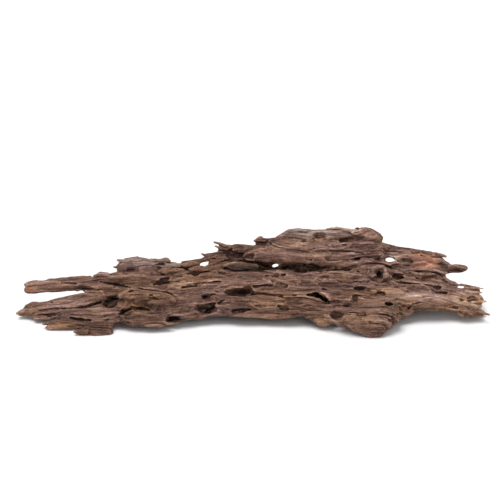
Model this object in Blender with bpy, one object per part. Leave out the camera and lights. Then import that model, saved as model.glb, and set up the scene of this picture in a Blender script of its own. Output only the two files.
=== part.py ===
"""Honeycomb wood: one weathered shard of driftwood, bored through and split into ledges along its grain.

The wood lies on its own lumps, length along X, front towards -Y, up +Z.
It is one natural piece. It is split only where a limb leaves the trunk: the two prongs of the left end
and the short prong of the right end, each with a 0.3 mm gap to the trunk.

Every ledge is a strand of grain. Its rows are written as a person sees them who looks at the front from
SIGHT_PITCH above the table: how far along, how high it appears, and how far back it lies.
"""

import math
import random

import bmesh
import bpy
from mathutils import Matrix, Vector, noise
from mathutils.bvhtree import BVHTree

MM = 0.001
LENGTH = 470.0  # mm, tip to tip
DEPTH = 158.0  # mm, front knob to back ledge
SIGHT_PITCH = math.radians(20)  # the line of sight of the tables below, above the horizon
SIGHT_DISTANCE = 2780.0  # mm, from the eye to the middle of the wood
GAP = 0.3  # mm, between a prong and the trunk it grows from
LEFT_FORK = 84.0  # mm from the left tip, where the two left prongs part from the trunk
PRONGS_PART = 45.5  # mm, the height seen of the split between the two left prongs
RIGHT_FORK = 433.0  # mm from the left tip, where the short right prong leaves
RIGHT_FORK_HEIGHT = 24.0  # mm above the table, under the short right prong
SKIN = 1.6  # mm, how finely the grown-together skin is made
CARVING_SKIN = 1.2  # mm, the same for the cutter
TRIANGLES = 8800  # of the whole wood, after the skin is simplified
LAYER = 15.0  # mm, between the layers of the grain that stand out as ledges
LAYER_STEP = 4.4  # mm, from one layer down to the next
FURROW_DEPTH = 9.0  # mm, of the weathered furrows along the grain where they would be deepest
SPARED = 0.11  # of its thickness, the most that the wood loses or gains to the weather
HIDDEN_BORES = 46  # on the back, the top and the underside, which the tables leave out
SEED = 7

SEEN_UP = Vector((0, math.sin(SIGHT_PITCH), math.cos(SIGHT_PITCH)))
SEEN_AWAY = Vector((0, math.cos(SIGHT_PITCH), -math.sin(SIGHT_PITCH)))
MIDDLE = Vector((0, 0, 30.0))
SEEN_MIDDLE = MIDDLE.z * SEEN_UP.z + DEPTH / 2 * SEEN_UP.y

# Strands of grain: (along from the left tip, height seen, depth from the front, half depth, half height), mm.
CORE = {
    "heart": [
        (60, 28, 52, 14, 8), (100, 33, 57, 26, 9), (150, 36, 66, 34, 11), (200, 39, 70, 36, 12),
        (250, 40, 72, 36, 12), (300, 40, 72, 40, 14), (350, 38, 68, 42, 15), (395, 40, 70, 34, 11),
        (430, 39, 72, 24, 8),
    ],
    "back heart": [
        (100, 55, 96, 14, 8), (140, 53, 98, 24, 12), (190, 53, 100, 28, 13), (240, 54, 102, 30, 13),
        (300, 56, 104, 30, 15), (350, 60, 106, 30, 18), (395, 60, 104, 26, 15), (425, 60, 102, 16, 10),
    ],
    "crest web": [
        (225, 72, 128, 10, 8), (270, 80, 130, 14, 13), (320, 82, 130, 16, 14), (360, 78, 126, 14, 12),
    ],
}
CREST = {
    "crest lip": [
        (228, 81, 106, 6, 3), (245, 81, 104, 12, 6), (270, 80, 103, 14, 7), (300, 78, 103, 15, 7),
        (325, 76, 103, 15, 7), (345, 74, 103, 13, 6), (358, 72, 103, 9, 4.5),
    ],
    "crest face": [
        (250, 88, 114, 12, 6), (268, 91, 115, 18, 9), (300, 93, 117, 20, 10), (330, 93, 118, 20, 10),
        (355, 90, 118, 18, 10), (368, 86, 118, 14, 8),
    ],
    "crest top": [
        (263.5, 101.8, 126, 4, 3.4), (269, 105, 127, 9, 4.6), (283, 104, 128, 11, 4.8),
        (300, 99.6, 128, 12, 4.5), (319, 103.2, 128, 11, 5), (330, 101.5, 128, 12, 5),
        (345, 104.4, 128, 12, 5.5), (354.5, 102.4, 128, 11, 6), (361, 97.8, 127, 11, 6.4),
        (365, 91.6, 126, 9, 6.4), (367, 86, 126, 8, 4),
    ],
    "crest shoulder": [
        (237, 96.8, 126, 1.6, 1.4), (242, 96.2, 126, 4, 2.5), (250, 95, 126, 7, 3.2),
        (264, 95.5, 125, 9, 4.6),
    ],
    "crest left rim": [
        (203, 90, 122, 3, 2), (213, 89, 121, 8, 3), (240, 88.8, 121, 10, 3.6), (262, 89.5, 121, 12, 5),
    ],
    "crest left wall": [
        (198, 80, 126, 6, 6), (212, 81, 128, 9, 7.6), (240, 80.4, 127, 12, 8), (262, 83, 122, 12, 9),
    ],
    "crest left jaw": [
        (189, 79.8, 113, 2, 2), (197, 80, 112, 4, 3.4), (205, 79, 112, 7, 5), (216, 75, 113, 8, 4.5),
        (226, 73, 114, 8, 4.5),
    ],
    "jaw root": [
        (194, 73.4, 106, 3, 2.4), (201, 73.4, 108, 8, 4.4), (212, 73.5, 110, 9, 5), (224, 74, 112, 9, 5),
    ],
    "crest shelf": [
        (302, 83, 106, 5, 3), (314, 85.5, 106, 12, 5.4), (330, 84.5, 106, 12, 5.4), (342, 82.6, 106, 8, 4),
        (349, 82.4, 107, 2.5, 1.6),
    ],
    "rim splinter": [(197.6, 95, 124, 1.4, 1.3), (203, 93, 123, 2.6, 2), (209, 91, 122, 4, 2.4)],
    "jaw splinter": [(184.6, 83.9, 114, 1.3, 1.3), (189, 81, 114, 2.6, 2.2), (196, 79, 113, 4, 3)],
    "jaw upper splinter": [(189, 84, 114, 1.3, 1.3), (195, 83.4, 114, 2.8, 2.4), (203, 82.4, 113, 5, 3.4)],
}
UPPER_BAND = {
    "upper left prong": [
        (7.4, 49.4, 84, 5, 3.6), (11, 49.7, 84, 9, 5.6), (28, 51, 84, 11, 5.8), (43, 52.4, 85, 11, 6.2),
        (63, 53.1, 86, 12, 6.5), (78, 54, 87, 13, 7), (95, 56, 88, 14, 7.5), (118, 57, 90, 18, 8),
        (145, 57, 92, 20, 8.5), (175, 59, 94, 22, 8.5),
    ],
    "prong bump": [(78, 61, 92, 4, 2), (85, 61.8, 92, 6, 3), (98, 60, 92, 8, 4)],
    "upper band": [
        (160, 62, 92, 16, 7), (185, 64, 92, 16, 6), (210, 63, 92, 16, 6), (235, 61, 90, 16, 6.5),
        (265, 60, 88, 15, 6), (295, 59.5, 86, 14, 6), (318, 60, 84, 12, 6), (335, 61, 84, 9, 4.5),
        (350, 60, 84, 6, 3),
    ],
    "lens plate": [
        (205, 70, 104, 4, 1.5), (213, 70.5, 104, 9, 3.5), (225, 70.5, 104, 10, 4), (236, 69.5, 104, 7, 3),
        (241, 67.5, 104, 3, 1.5),
    ],
    "back left plate": [
        (102, 71.6, 108, 8, 3.4), (108, 71.8, 108, 13, 5), (125, 72.6, 108, 14, 6), (140, 71, 109, 13, 5.4),
        (150, 70.6, 110, 9, 4), (156, 70.4, 110, 6, 3),
    ],
    "plate spike": [(100, 76.8, 112, 1.4, 1.3), (106, 76.6, 111, 3, 2.2), (115, 77, 110, 6, 2.6)],
    "plate low spike": [(96.4, 70.2, 106, 1.4, 1.3), (102, 70.3, 106, 2.4, 1.8), (108, 70, 106, 4, 2.4)],
    "back stick": [
        (132, 72, 112, 6, 4), (142, 75, 112, 5, 2.8), (148, 76.2, 112, 3.5, 2), (152, 76.8, 112, 2, 1.5),
    ],
    "back ledge": [
        (138, 69, 106, 8, 4), (155, 70.6, 108, 9, 3.6), (172, 71.2, 108, 7, 2.8), (184, 73.6, 110, 4, 2),
    ],
    "back splinter": [
        (165, 71, 112, 4, 2.5), (178, 75, 112, 4, 2.2), (188, 76.4, 112, 3.2, 2), (196, 78, 112, 4, 3),
    ],
}
MIDDLE_BANDS = {
    "middle band": [
        (150, 50, 76, 20, 8), (180, 51, 76, 22, 8), (210, 50, 74, 22, 8), (240, 50, 72, 22, 8),
        (270, 51, 72, 22, 8), (300, 51, 72, 22, 8), (325, 50, 72, 20, 8), (350, 50, 72, 18, 8),
        (370, 50, 74, 14, 7),
    ],
    "lower middle band": [
        (110, 40, 62, 22, 8), (150, 38, 60, 24, 8), (190, 38, 58, 24, 8), (230, 39, 58, 22, 8),
        (270, 40, 58, 20, 7), (300, 40, 58, 20, 7), (330, 40, 56, 20, 8), (360, 40, 56, 20, 8),
        (385, 42, 60, 16, 7),
    ],
    "front band": [
        (150, 27, 46, 14, 6), (170, 27, 44, 14, 6.6), (190, 27, 44, 13, 6), (215, 28, 44, 14, 6),
        (240, 28, 43, 14, 6.5), (256, 27, 42, 14, 7), (280, 28, 42, 14, 6), (300, 28, 40, 13, 6),
    ],
    "bark plate": [
        (101, 40, 50, 4, 3), (110, 41, 50, 14, 7), (125, 41, 50, 18, 8), (142, 39, 50, 18, 7),
        (155, 37, 50, 14, 6), (165, 34, 50, 10, 5),
    ],
    "low lump": [
        (99, 20.5, 29, 8, 5.4), (112, 17.4, 26, 13, 6.4), (130, 16.8, 25, 14, 6.8), (145, 17.4, 25, 13, 6.5),
        (156, 20.6, 28, 12, 6.4), (168, 23.4, 33, 11, 6), (180, 25.4, 38, 9, 5),
    ],
}
LOWER_LEFT = {
    "lower left prong": [
        (0.4, 22.2, 56, 2.6, 2.2), (5, 23.4, 56, 6, 3.4), (14, 28, 57, 12, 6), (28, 28.4, 58, 14, 6.4),
        (43, 30, 58, 16, 7), (58, 32.4, 58, 17, 7.4), (70, 36, 60, 18, 8.4), (85, 36, 60, 18, 8),
        (104, 36, 60, 18, 8),
    ],
    "prong plate": [
        (63, 41.4, 66, 5, 2.6), (71, 42.6, 66, 11, 4), (80, 42, 66, 12, 4.5), (88, 39.5, 62, 10, 4),
    ],
    "dark finger": [(15.6, 19.8, 44, 3, 2), (24, 20, 44, 6, 3), (35, 20.5, 45, 7, 3.6), (50, 22, 46, 8, 5)],
    "front face": [
        (43, 22.5, 40, 4, 3), (52, 22, 38, 9, 5.5), (68, 23, 38, 13, 7), (85, 23, 38, 14, 7.5),
        (98, 24, 38, 13, 7.5), (108, 26, 42, 10, 6),
    ],
    "long finger": [
        (23, 13.7, 26, 1.6, 1.5), (30, 13.2, 26, 4, 3), (34, 12, 25, 6.5, 4.3), (43, 12, 25, 7, 4.2),
        (58, 13.5, 26, 8, 4), (75, 14, 27, 9, 4.4), (98, 16, 28, 10, 5),
    ],
    "long finger barb": [(28.2, 8.2, 21, 1.5, 1.5), (34, 9.4, 22, 3.4, 2.6), (41, 10.2, 23, 4.6, 3.4)],
    "low finger": [
        (56, 6.2, 12, 2, 2), (61, 4.8, 11, 5, 3.2), (72, 4.6, 11, 5.6, 3.6), (85, 5.2, 12, 6.4, 4),
        (94, 6.5, 14, 6, 4), (97.5, 8, 16, 3.5, 3),
    ],
    "low finger root": [(68, 10, 20, 6, 3.4), (85, 11, 21, 7, 4), (95, 12, 22, 6, 4)],
}
KNOB = {
    "knob": [
        (306, 22, 22, 7, 5), (320, 21.5, 22, 12, 6.4), (333, 18.8, 20, 19, 10.8), (350, 17.8, 19, 24, 14.8),
        (364, 18.2, 20, 23, 14.2), (374, 20, 23, 17, 10), (380.5, 21.5, 26, 8, 6),
    ],
    "knob heel": [
        (370, 26, 40, 10, 6), (383, 25.5, 42, 9, 5.2), (396, 28, 44, 8, 4.6), (408, 30, 46, 6, 3.6),
    ],
    "knob roof": [(318, 36, 44, 10, 6), (340, 37, 42, 16, 7), (365, 36, 42, 16, 7), (385, 35, 46, 12, 6)],
    "knob barb": [(372, 18, 22, 5, 3), (378, 16.4, 22, 3, 2), (382.4, 15.8, 22, 1.4, 1.3)],
    "tooth": [
        (290, 26, 36, 9, 6), (299, 21, 31, 8, 6), (305, 16.6, 26, 7.5, 5), (311, 16.8, 26, 6, 4.4),
        (318, 18, 26, 5, 4),
    ],
    "pipe lump": [(350, 62, 88, 8, 6), (363, 62, 86, 14, 9), (377, 62, 88, 8, 6)],
}
RIGHT = {
    "right slab": [
        (360, 84, 122, 14, 8), (375, 82.6, 121, 16, 7), (390, 79, 118, 20, 7.6), (405, 76.4, 115, 22, 7.6),
        (418, 73.8, 113, 20, 7.4), (426, 71, 112, 14, 6.6), (430, 69.6, 111, 8, 5),
    ],
    "right under slab": [
        (370, 66, 100, 14, 8), (390, 66, 100, 16, 8), (410, 65, 100, 16, 8), (422, 62, 100, 12, 6),
        (427, 60, 100, 7, 4),
    ],
    "right prong": [
        (418, 70, 108, 9, 5), (430, 69, 108, 8, 4.5), (440, 68.5, 108, 7, 4.2), (447, 68.7, 108, 6.5, 4.2),
        (451, 69, 108, 3.4, 2.6),
    ],
    "right hook": [(418, 82, 117, 8, 3.5), (424, 81.6, 117, 4, 2.5), (427, 79.6, 117, 2.5, 2)],
    "right middle": [
        (368, 62, 92, 10, 6), (390, 60, 92, 12, 6), (412, 57, 92, 12, 6), (426, 55, 92, 8, 4.4),
        (433, 54, 92, 3, 2.4),
    ],
    "tail roof": [
        (375, 52, 80, 16, 8), (400, 50, 82, 16, 8), (425, 49.4, 82, 14, 6.8), (440, 48.2, 84, 12, 5.7),
        (455, 47.2, 86, 10, 4.4), (464, 47.4, 87, 6, 2.8),
    ],
    "tail": [
        (385, 36.6, 58, 20, 8), (410, 35, 58, 20, 7.6), (430, 34.6, 60, 18, 7.4), (445, 32.4, 60, 16, 7),
        (460, 28.4, 60, 12, 6), (466, 25.4, 60, 7, 3.6), (471, 22.6, 60, 2.4, 2),
    ],
    "tail point": [
        (440, 41, 74, 14, 5), (458, 40, 75, 10, 4), (464, 37.5, 74, 4.6, 2.6), (468, 36, 74, 1.5, 1.5),
    ],
    "tail middle point": [(448, 33, 66, 8, 4), (460, 31.6, 66, 5, 3), (466, 29.4, 66, 2.4, 2)],
    "tail lobe": [
        (438, 29.6, 50, 8, 5.4), (447, 28.6, 50, 13, 6.8), (458, 28, 51, 12, 6.6), (465, 26, 54, 7, 4),
    ],
}
BACK = {
    "back foot left": [
        (105, 42, 106, 8, 5), (125, 38, 108, 14, 8), (150, 38, 108, 14, 8), (170, 42, 106, 8, 5),
    ],
    "back foot right": [
        (300, 40, 112, 10, 6), (330, 40, 114, 18, 10), (365, 40, 112, 18, 10), (400, 42, 108, 10, 6),
    ],
    "back ridge": [
        (170, 58, 122, 6, 4), (200, 58, 126, 11, 6), (230, 60, 130, 14, 7), (260, 62, 134, 14, 8),
        (300, 68, 138, 14, 8), (340, 72, 138, 12, 8), (380, 72, 134, 12, 7), (410, 70, 126, 8, 5),
    ],
    "back shelf": [
        (190, 52, 126, 6, 4), (240, 51, 134, 13, 7), (290, 52, 140, 14, 8), (340, 54, 142, 13, 8),
        (384, 54, 136, 8, 5),
    ],
    "back rail": [(250, 84, 132, 6, 4), (290, 86, 138, 10, 5), (330, 88, 140, 10, 5), (362, 84, 136, 7, 4)],
}

# Bores right through: (along, height seen, half length, half height), mm.
THROUGH = {
    "under the jaw": (187.5, 73, 6.4, 2.5),
    "under the crest": (258.5, 71.4, 4.6, 2.6),
    "behind the pipe": (373, 77, 6.2, 3.1),
    "in the tail": (444, 49.8, 4.3, 2.1),
}
# Hollows that end inside: (along, height seen, half length, half height, depth into the wood), mm.
HOLLOWS = {
    "behind the prong plate": (96.5, 38, 7, 3.2, 16),
    "beside the prong plate": (94.5, 31.7, 8, 2.8, 13),
    "bark plate, lower": (122, 27.5, 9.5, 2.8, 10),
    "bark plate, left": (109, 24, 7, 2.6, 9),
    "bark plate, scar": (136.5, 39, 5, 2.2, 4),
    "low lump, right": (157, 17.6, 9, 3.4, 14),
    "front band, great": (188, 28, 12.5, 5.4, 18),
    "front band, upper": (188.5, 39, 7, 3.4, 13),
    "middle, great": (222, 44.7, 15.5, 4.4, 22),
    "upper band, left": (147, 54, 7.2, 2.6, 15),
    "middle band, eye": (262, 51.2, 6.2, 2.1, 10),
    "middle band, right eye": (307.5, 47.7, 5, 2, 10),
    "above the knob": (343.5, 49, 7.2, 2.7, 12),
    "knob roof, left": (339, 38, 4.8, 3.2, 11),
    "knob roof, middle": (364, 43, 5.8, 2.7, 11),
    "knob roof, right": (371.5, 31.8, 5, 2.7, 13),
    "pipe mouth": (363, 61.5, 6.4, 7.4, 6),
    "pipe": (362, 62.7, 3.4, 4.2, 30),
    "crest eye": (340, 78.5, 4.8, 3.2, 13),
    "beside the pipe": (362, 77, 6, 2.4, 11),
    "over the pipe": (369, 70, 5.2, 2, 10),
    "right of the pipe": (382, 59.5, 6.8, 2.8, 13),
    "crest pit": (302, 101.7, 7, 3.7, 8),
    "crest notch": (309.5, 92.5, 5, 2.5, 6),
    "knob cave": (320, 22, 7.4, 5.8, 12),
    "knob dimple": (345, 22.5, 6.8, 4.2, 6),
    "tail eye": (421, 47, 5, 2.7, 9),
    "tail scar": (456, 36, 4.4, 2.2, 8),
    "under the tail": (383, 23, 4.4, 2.4, 9),
    "front band, slot": (225, 26.8, 8, 1.8, 6),
    "front band, right slot": (267, 27.5, 8, 2.4, 7),
    "crest left cave": (222, 79.6, 17, 5.2, 15),
    "upper band, dish": (176, 64.5, 9, 2.5, 7),
}
# Splits along the grain: how deep they run, and rows of (along, height seen, half height), mm.
SPLITS = {
    "under the upper band": (9, [
        (84, 55.5, 1), (98, 53, 1.6), (113, 49.6, 1.8), (130, 46.6, 1.8), (148, 46, 1.6), (167, 47.3, 1.5),
        (184, 50, 1),
    ]),
    "under the crest, left": (8, [(236, 71.8, 1.6), (244, 71.6, 3.2), (252, 71.3, 4)]),
    "under the crest": (26, [
        (264, 70.6, 4), (275, 70, 4.4), (290, 69.2, 4.4), (305, 69, 3.8), (320, 68.4, 2.4), (338, 67, 1.8),
        (354, 66, 1),
    ]),
    "slanting bore": (18, [(291, 43.3, 1.2), (300, 41.5, 3), (307, 38, 4.4), (312, 35.3, 3.4)]),
    "upper band slit": (8, [(165, 48.5, 0.9), (175, 51, 1.5), (184, 53, 1.4), (198, 55.5, 0.9)]),
    "middle slit": (8, [(227, 50, 0.9), (241, 50.6, 1.5), (256, 52, 1.2)]),
    "right of the great hollow": (9, [(234, 42.8, 1), (248, 42.4, 1.7), (264, 41, 1.5), (284, 40.5, 0.9)]),
    "over the front band": (8, [
        (200, 34, 0.9), (219, 34.8, 1.6), (243, 34, 1.6), (266, 33, 1.5), (290, 31.5, 1),
    ]),
    "over the knob": (8, [(318, 32.5, 1), (330, 31.6, 1.7), (345, 32.5, 1)]),
    "tail roof": (9, [(373, 56, 1), (380, 54.3, 1.6), (392, 53, 1.8), (407, 52.2, 1.7), (426, 49.7, 1.1)]),
    "tail slit": (7, [(414, 44.8, 0.9), (426, 43.4, 1.5), (438, 42.4, 0.9)]),
    "tail crack": (6, [(391, 28.5, 0.8), (400, 32.6, 1.4), (412, 35.5, 1.4), (424, 37.5, 0.8)]),
    "crest crack": (7, [
        (313, 91, 0.9), (323, 92.6, 1.5), (332, 92.9, 1.5), (340, 90.3, 1.5), (348, 89.5, 0.8),
    ]),
    "beside the prong plate": (10, [(64, 28.6, 0.9), (76, 31.3, 1.9), (90, 34.4, 1.6)]),
    "over the dark finger": (9, [(18, 24.3, 1), (30, 24, 1.7), (43, 23, 1.2)]),
    "over the long finger": (8, [(52, 20.7, 0.9), (63, 20, 1.6), (71, 18, 1.6), (80, 16, 0.9)]),
    "under the lens plate": (8, [(205, 67, 0.9), (220, 65.8, 1.6), (238, 65.6, 1)]),
}


def seen_point(along, seen, depth):
    """The point, in mm, that shows `along` and `seen` high on the line of sight, `depth` behind the front."""
    y = depth - DEPTH / 2
    z = (seen - depth * SEEN_UP.y) / SEEN_UP.z
    away = (Vector((0, y, z)) - MIDDLE).dot(SEEN_AWAY)
    spread = 1 + away / SIGHT_DISTANCE
    x = (along - LENGTH / 2) * spread
    z += (seen - SEEN_MIDDLE) * (spread - 1) / SEEN_UP.z
    return Vector((x, y, z))


def between(rows, step):
    """Rows along a smooth curve through the given rows, about `step` mm apart."""
    rows = [rows[0], *rows, rows[-1]]
    found = []
    for before, start, end, after in zip(rows, rows[1:], rows[2:], rows[3:]):
        span = math.dist(start[:3], end[:3])
        count = max(1, round(span / step))
        for i in range(count):
            t = i / count
            found.append(tuple(catmull_rom(a, b, c, d, t) for a, b, c, d in zip(before, start, end, after)))
    return [*found, rows[-1]]


def catmull_rom(a, b, c, d, t):
    return b + 0.5 * t * (c - a + t * (2 * a - 5 * b + 4 * c - d + t * (3 * (b - c) + d - a)))


def add_tube(bm, centres, sizes, axes, sides=12, gnarl=0.16):
    """A closed tube of oval rings. `sizes` are its half widths along the two `axes`."""
    rings = []
    for centre, (wide, high) in zip(centres, sizes):
        ring = []
        for i in range(sides):
            turn = math.tau * i / sides
            offset = axes[0] * (wide * math.cos(turn)) + axes[1] * (high * math.sin(turn))
            knotty = 1 + gnarl * noise.noise((centre + offset) * 0.09)
            ring.append(bm.verts.new((centre + offset * knotty) * MM))
        rings.append(ring)
    for ring, after in zip(rings, rings[1:]):
        for i in range(sides):
            j = (i + 1) % sides
            bm.faces.new((ring[i], ring[j], after[j], after[i]))
    bm.faces.new(rings[0][::-1])
    bm.faces.new(rings[-1])


def add_strand(bm, rows):
    rows = between(rows, 5)
    centres = [seen_point(*row[:3]) for row in rows]
    add_tube(bm, centres, [row[3:] for row in rows], (Vector((0, 1, 0)), Vector((0, 0, 1))))


def sight_hit(tree, along, seen):
    """The point of the skin, in mm, that shows there."""
    near = seen_point(along, seen, -40)
    far = seen_point(along, seen, DEPTH + 60)
    return tree.ray_cast(near * MM, (far - near).normalized())[0] / MM


def add_hollow(bm, centre, half_length, half_height, reach, away=SEEN_AWAY):
    """An egg-shaped cutter along the grain that reaches into the wood."""
    up = Vector((1, 0, 0)).cross(away).normalized()
    turned = Matrix((Vector((1, 0, 0)), away, up)).transposed().to_4x4()
    size = Matrix.Diagonal((half_length * MM, reach * MM, half_height * MM, 1))
    place = Matrix.Translation(centre * MM) @ turned @ size
    found = bmesh.ops.create_icosphere(bm, subdivisions=3, radius=1)
    for vert in found["verts"]:
        point = place @ vert.co
        rough = 1 + 0.22 * noise.noise(point / MM * 0.16)
        vert.co = place @ (vert.co * rough)


def add_split(bm, tree, depth, rows):
    rows = between([(*row, 0, 0) for row in rows], 4)
    centres = [sight_hit(tree, along, seen) for along, seen, *_ in rows]
    add_tube(bm, centres, [(depth, row[2]) for row in rows], (SEEN_AWAY, SEEN_UP), gnarl=0.1)


def add_hidden_bores(bm, tree):
    """Shipworm bores on the back, top and underside, placed by chance and drawn out along the grain."""
    chance = random.Random(SEED)
    for _ in range(HIDDEN_BORES):
        turn = math.radians(chance.uniform(55, 245))
        away = Vector((0, math.cos(turn), -math.sin(turn)))
        heart = Vector((chance.uniform(-125, 185), chance.uniform(5, 30), chance.uniform(22, 40)))
        hit = tree.ray_cast((heart - away * LENGTH) * MM, away)[0]
        if hit:
            half_length = chance.uniform(5, 12)
            half_height = chance.uniform(0.28, 0.42) * half_length
            add_hollow(bm, hit / MM, half_length, half_height, chance.uniform(6, 13), away)


def object_of(bm, name):
    bmesh.ops.recalc_face_normals(bm, faces=bm.faces)
    mesh = bpy.data.meshes.new(name)
    bm.to_mesh(mesh)
    bm.free()
    made = bpy.data.objects.new(name, mesh)
    bpy.context.scene.collection.objects.link(made)
    return made


def apply_modifiers(obj):
    graph = bpy.context.evaluated_depsgraph_get()
    mesh = bpy.data.meshes.new_from_object(obj.evaluated_get(graph))
    obj.modifiers.clear()
    obj.data = mesh


def grown_together(obj, fineness):
    """Applies a voxel remesh, which joins the overlapping strands into one skin."""
    remesh = obj.modifiers.new("skin", "REMESH")
    remesh.mode = "VOXEL"
    remesh.voxel_size = fineness * MM
    apply_modifiers(obj)


def boolean(obj, other, operation):
    cut = obj.modifiers.new("cut", "BOOLEAN")
    cut.operation = operation
    cut.solver = "EXACT"
    cut.object = other
    apply_modifiers(obj)
    bpy.data.objects.remove(other)


def block(place, facing):
    """A block, larger than the wood, that fills the side of `place` which `facing` points to."""
    bm = bmesh.new()
    bmesh.ops.create_cube(bm, size=4 * LENGTH * MM)
    made = object_of(bm, "block")
    centre = (place + facing * 2 * LENGTH) * MM
    made.data.transform(Matrix.Translation(centre) @ facing.to_track_quat("Z", "Y").to_matrix().to_4x4())
    return made


def build_wood():
    bm = bmesh.new()
    for group in (CORE, CREST, UPPER_BAND, MIDDLE_BANDS, LOWER_LEFT, KNOB, RIGHT, BACK):
        for rows in group.values():
            add_strand(bm, rows)
    wood = object_of(bm, "wood")
    grown_together(wood, SKIN)
    return wood


def grain_relief(point):
    """How far, in mm, the weather left the wood standing there: stepped layers, and furrows."""
    along, back, up = point
    bend = noise.noise(Vector((along * 0.012, back * 0.03, up * 0.03)))
    ragged = noise.noise(Vector((along * 0.055, back * 0.05, up * 0.05)))
    layer = (0.6 * back + 0.8 * up + 11 * bend + 3.5 * ragged) / LAYER
    furrow = abs(noise.noise(Vector((along * 0.011, back * 0.07 + bend, up * 0.07 + bend))))
    return LAYER_STEP * (0.5 - layer % 1) + FURROW_DEPTH * (0.2 - furrow)


def weather(wood):
    """Moves the skin in and out by the relief, less where the wood is thin."""
    tree = BVHTree.FromObject(wood, bpy.context.evaluated_depsgraph_get())
    moved = []
    for vert in wood.data.vertices:
        start = vert.co - vert.normal * SKIN * MM
        thickness = (tree.ray_cast(start, -vert.normal)[3] or 0) / MM
        limit = thickness * SPARED
        moved.append(vert.co + vert.normal * max(-limit, min(grain_relief(vert.co / MM), limit)) * MM)
    for vert, place in zip(wood.data.vertices, moved):
        vert.co = place
    grown_together(wood, SKIN)


def build_carving(wood):
    """Everything that the sea and the shipworm took out, as one cutter."""
    tree = BVHTree.FromObject(wood, bpy.context.evaluated_depsgraph_get())
    bm = bmesh.new()
    for along, seen, half_length, half_height in THROUGH.values():
        centres = [seen_point(along, seen, depth) for depth in (-40, DEPTH / 2, DEPTH + 60)]
        add_tube(bm, centres, [(half_length, half_height)] * 3, (Vector((1, 0, 0)), SEEN_UP), gnarl=0.3)
    for along, seen, half_length, half_height, reach in HOLLOWS.values():
        add_hollow(bm, sight_hit(tree, along, seen), half_length, half_height, reach)
    for depth, rows in SPLITS.values():
        add_split(bm, tree, depth, rows)
    add_hidden_bores(bm, tree)
    carving = object_of(bm, "carving")
    grown_together(carving, CARVING_SKIN)
    return carving


def without_chips(obj, name):
    """The object's largest body: what was cut loose, and any cavity that was grown shut, is left out."""
    bm = bmesh.new()
    bm.from_mesh(obj.data)
    bpy.data.objects.remove(obj)
    unseen = set(bm.verts)
    largest = set()
    while unseen:
        rim = {unseen.pop()}
        body = set(rim)
        while rim:
            rim = {edge.other_vert(vert) for vert in rim for edge in vert.link_edges} - body
            body |= rim
        unseen -= body
        largest = max(largest, body, key=len)
    bmesh.ops.delete(bm, geom=[vert for vert in bm.verts if vert not in largest], context="VERTS")
    return object_of(bm, name)


def simplify(wood):
    fewer = wood.modifiers.new("fewer faces", "DECIMATE")
    fewer.use_collapse_triangulate = True
    fewer.ratio = TRIANGLES / sum(len(face.vertices) - 2 for face in wood.data.polygons)
    apply_modifiers(wood)


def copy_of(obj):
    made = obj.copy()
    made.data = obj.data.copy()
    bpy.context.scene.collection.objects.link(made)
    return made


def cut_off(wood, name, *planes):
    """A piece of the wood: what lies beyond all the planes, each given as a place and where it faces."""
    source = copy_of(wood)
    for place, facing in planes:
        boolean(source, block(place + facing * GAP / 2, facing), "INTERSECT")
    return without_chips(source, name)


def split_limbs(wood):
    """Parts the limbs from the trunk where they fork, and names each piece."""
    right = Vector((1, 0, 0))
    up = Vector((0, 0, 1))
    left_fork = seen_point(LEFT_FORK, PRONGS_PART, DEPTH / 2)
    right_fork = Vector((RIGHT_FORK - LENGTH / 2, 0, RIGHT_FORK_HEIGHT))
    pieces = [
        cut_off(wood, "upper_left_prong", (left_fork, -right), (left_fork, SEEN_UP)),
        cut_off(wood, "lower_left_prong", (left_fork, -right), (left_fork, -SEEN_UP)),
        cut_off(wood, "right_prong", (right_fork, right), (right_fork, up)),
    ]
    corner = right_fork - (right + up) * GAP / 2
    around_prong = block(corner, right)
    boolean(around_prong, block(corner, up), "INTERSECT")
    boolean(wood, around_prong, "DIFFERENCE")
    pieces.append(cut_off(wood, "trunk", (left_fork, right)))
    bpy.data.objects.remove(wood)
    return pieces


def centre_on_origin(pieces):
    """Moves the wood so that the middle of its box stands over the origin."""
    places = [vert.co for piece in pieces for vert in piece.data.vertices]
    lows, highs = ([pick(place[axis] for place in places) for axis in (0, 1)] for pick in (min, max))
    middle_x, middle_y = ((low + high) / 2 for low, high in zip(lows, highs))
    for piece in pieces:
        piece.data.transform(Matrix.Translation((-middle_x, -middle_y, 0)))


def weathered_wood(name):
    material = bpy.data.materials.new(name)
    material.use_nodes = True
    shader = material.node_tree.nodes["Principled BSDF"]
    shader.inputs["Base Color"].default_value = (0.165, 0.095, 0.07, 1)
    shader.inputs["Roughness"].default_value = 0.85
    shader.inputs["Metallic"].default_value = 0
    return material


def clear_scene():
    for obj in list(bpy.data.objects):
        bpy.data.objects.remove(obj)


def main():
    clear_scene()
    wood = build_wood()
    weather(wood)
    boolean(wood, build_carving(wood), "DIFFERENCE")
    grown_together(wood, SKIN)
    wood = without_chips(wood, "wood")
    simplify(wood)
    table = Vector((0, 0, 0))
    boolean(wood, block(table, Vector((0, 0, -1))), "DIFFERENCE")
    pieces = split_limbs(wood)
    centre_on_origin(pieces)
    for piece in pieces:
        piece.data.materials.append(weathered_wood(piece.name))


main()
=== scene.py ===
import math

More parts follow.
